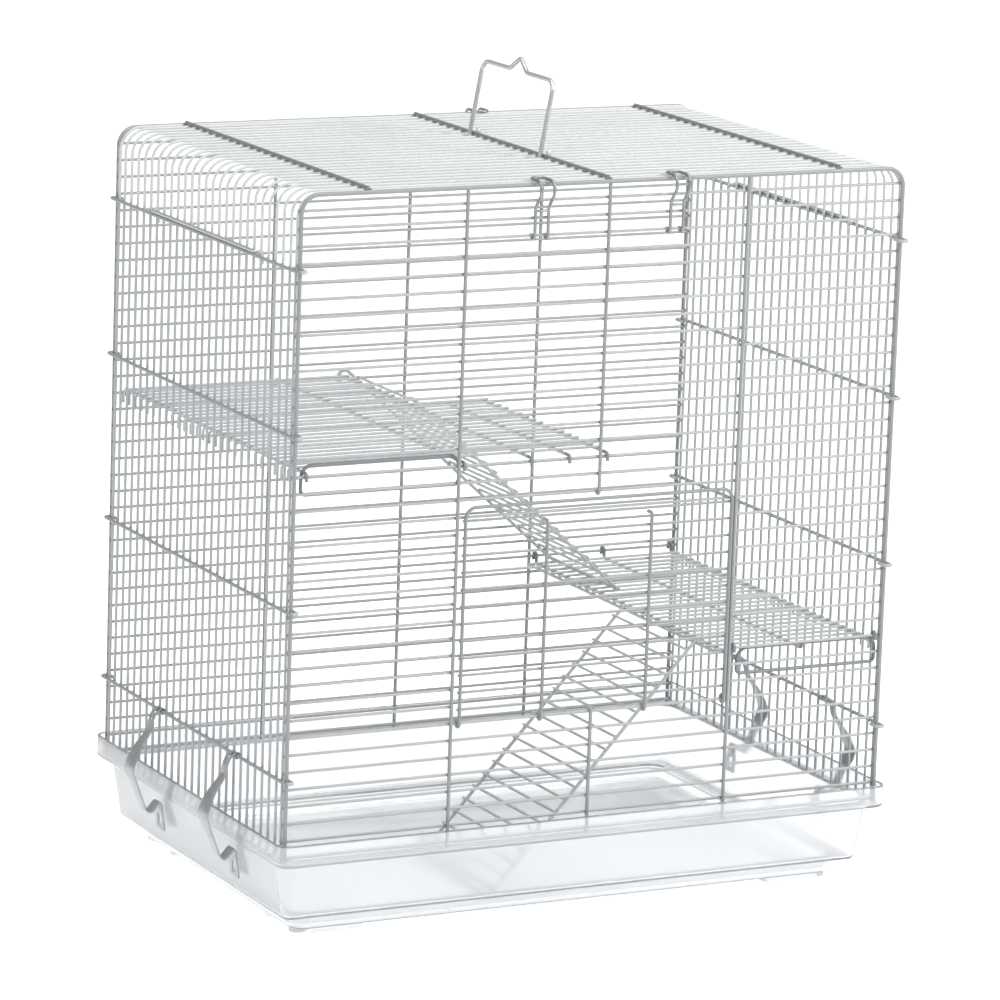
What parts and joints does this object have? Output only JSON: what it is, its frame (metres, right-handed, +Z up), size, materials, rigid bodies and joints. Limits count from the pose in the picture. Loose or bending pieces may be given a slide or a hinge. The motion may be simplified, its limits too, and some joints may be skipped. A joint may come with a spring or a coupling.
{
  "type": "small animal cage",
  "caption": "Wire cage for small animals with a clear base tray, wire shelves, ladder ramps, a drop-down front door, a carry handle and tray clips.",
  "frame": {"origin": "middle of the footprint at the height the feet stand on", "axes": "+Z up, -Y towards the front door, +X to the right as seen from the front"},
  "size_m": [0.5154, 0.326, 0.5812],
  "materials": {
    "white_wire": "semi-gloss white powder coat on steel wire",
    "zinc_wire": "bright zinc plated wire",
    "zinc_strip": "zinc plated sheet strip",
    "clear_plastic": "clear moulded plastic"
  },
  "bodies": {
    "cage": {"base_tray": "clear_plastic", "front_panel": "white_wire", "back_panel": "white_wire", "left_panel": "white_wire", "right_panel": "white_wire", "roof_panel": "white_wire", "left_joint_rod": "zinc_wire", "right_joint_rod": "zinc_wire", "upper_shelf": "white_wire", "lower_shelf": "white_wire"},
    "door": {"front_door": "white_wire"},
    "handle": {"carry_handle": "zinc_wire"},
    "ramp_upper": {"upper_ramp": "white_wire"},
    "ramp_lower": {"lower_ramp": "white_wire"},
    "left_front_clip": {"clip_left_front": "zinc_strip"},
    "front_left_hook": {"hook_front_left": "zinc_wire"},
    "left_back_clip": {"clip_left_back": "zinc_strip"},
    "right_front_clip": {"clip_right_front": "zinc_strip"},
    "front_right_hook": {"hook_front_right": "zinc_wire"},
    "right_back_clip": {"clip_right_back": "zinc_strip"},
    "back_right_hook": {"hook_back_right": "zinc_wire"}
  },
  "joints": [
    {"name": "door_hinge", "type": "hinge", "parent": "cage", "child": "door", "pos_m": [0.0015, -0.1515, 0.1455], "axis": [1, 0, 0], "range_deg": [0, 135]},
    {"name": "handle_hinge", "type": "hinge", "parent": "cage", "child": "handle", "pos_m": [0, 0, 0.519], "axis": [0, 1, 0], "range_deg": [-94, 80]},
    {"name": "upper_ramp_hinge", "type": "hinge", "parent": "cage", "child": "ramp_upper", "pos_m": [-0.05275, 0.0918, 0.3278], "axis": [0, -1, 0], "range_deg": [0, 40]},
    {"name": "lower_ramp_hinge", "type": "hinge", "parent": "cage", "child": "ramp_lower", "pos_m": [0.105, -0.0594, 0.1762], "axis": [0, 1, 0], "range_deg": [0, 40]},
    {"name": "left_front_clip_hinge", "type": "hinge", "parent": "cage", "child": "left_front_clip", "pos_m": [-0.2338, -0.07575, 0.11598], "axis": [0, 1, 0], "range_deg": [0, 130]},
    {"name": "front_left_hook_hinge", "type": "hinge", "parent": "cage", "child": "front_left_hook", "pos_m": [-0.052, -0.1515, 0.4815], "axis": [1, 0, 0], "range_deg": [0, 110]},
    {"name": "left_back_clip_hinge", "type": "hinge", "parent": "cage", "child": "left_back_clip", "pos_m": [-0.2338, 0.05244, 0.11598], "axis": [0, 1, 0], "range_deg": [0, 130]},
    {"name": "right_front_clip_hinge", "type": "hinge", "parent": "cage", "child": "right_front_clip", "pos_m": [0.2338, -0.07575, 0.11598], "axis": [0, -1, 0], "range_deg": [0, 130]},
    {"name": "front_right_hook_hinge", "type": "hinge", "parent": "cage", "child": "front_right_hook", "pos_m": [0.052, -0.1515, 0.4815], "axis": [1, 0, 0], "range_deg": [0, 110]},
    {"name": "right_back_clip_hinge", "type": "hinge", "parent": "cage", "child": "right_back_clip", "pos_m": [0.2338, 0.05244, 0.11598], "axis": [0, -1, 0], "range_deg": [0, 130]},
    {"name": "back_right_hook_hinge", "type": "hinge", "parent": "cage", "child": "back_right_hook", "pos_m": [0.052, 0.1515, 0.4815], "axis": [-1, 0, 0], "range_deg": [0, 110]}
  ]
}
